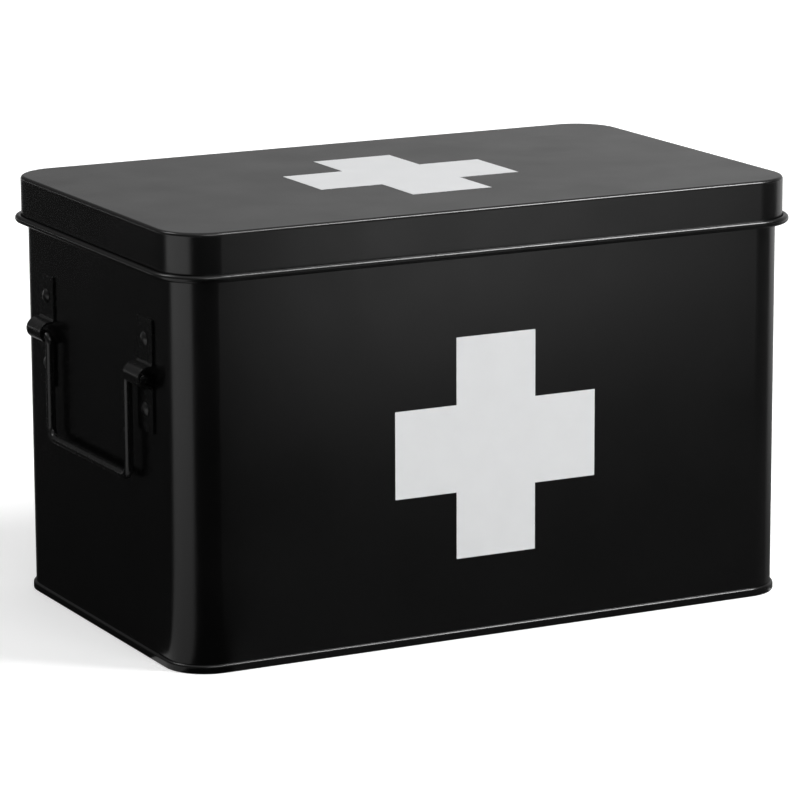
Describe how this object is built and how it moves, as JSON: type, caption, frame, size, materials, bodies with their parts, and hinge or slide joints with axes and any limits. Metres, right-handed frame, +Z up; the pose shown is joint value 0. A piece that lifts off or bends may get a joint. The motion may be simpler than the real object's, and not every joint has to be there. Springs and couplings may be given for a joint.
{
  "type": "lidded metal apothecary box",
  "caption": "Black tinplate apothecary box with rounded corners, hinged lid, drop handles on its end walls and a plain white cross on front and lid.",
  "frame": {"origin": "on the table, under the middle of the whole box", "axes": "+Z up, -Y towards the front wall with the cross, +X towards the right end wall as seen from the front"},
  "size_m": [0.33, 0.2026, 0.2006],
  "materials": {
    "black_enamel": "satin",
    "white_print": "satin",
    "handle_black": "satin",
    "rivet_black": "satin"
  },
  "bodies": {
    "body": {"body_shell": "black_enamel", "base_panel": "black_enamel", "front_cross": "white_print", "left_front_ear": "handle_black", "left_rear_ear": "handle_black", "right_front_ear": "handle_black", "right_rear_ear": "handle_black", "left_front_ear_rivets": "rivet_black", "left_rear_ear_rivets": "rivet_black", "right_front_ear_rivets": "rivet_black", "right_rear_ear_rivets": "rivet_black", "left_hinge_body_leaf": "handle_black", "right_hinge_body_leaf": "handle_black", "left_hinge_pin": "rivet_black", "right_hinge_pin": "rivet_black", "left_hinge_body_rivets": "rivet_black", "right_hinge_body_rivets": "rivet_black"},
    "lid": {"lid_shell": "black_enamel", "lid_cross": "white_print", "left_hinge_lid_leaf": "handle_black", "right_hinge_lid_leaf": "handle_black", "left_hinge_lid_rivets": "rivet_black", "right_hinge_lid_rivets": "rivet_black"},
    "left_handle": {"left_handle": "handle_black"},
    "right_handle": {"right_handle": "handle_black"}
  },
  "joints": [
    {"name": "lid_hinge", "type": "hinge", "parent": "body", "child": "lid", "pos_m": [0, 0.0963, 0.1761], "axis": [-1, 0, 0], "range_deg": [0, 125]},
    {"name": "left_handle_swing", "type": "hinge", "parent": "body", "child": "left_handle", "pos_m": [-0.1614, -0.0006, 0.1305], "axis": [0, 1, 0], "range_deg": [0, 172]},
    {"name": "right_handle_swing", "type": "hinge", "parent": "body", "child": "right_handle", "pos_m": [0.1614, -0.0006, 0.1305], "axis": [0, -1, 0], "range_deg": [0, 172]}
  ]
}
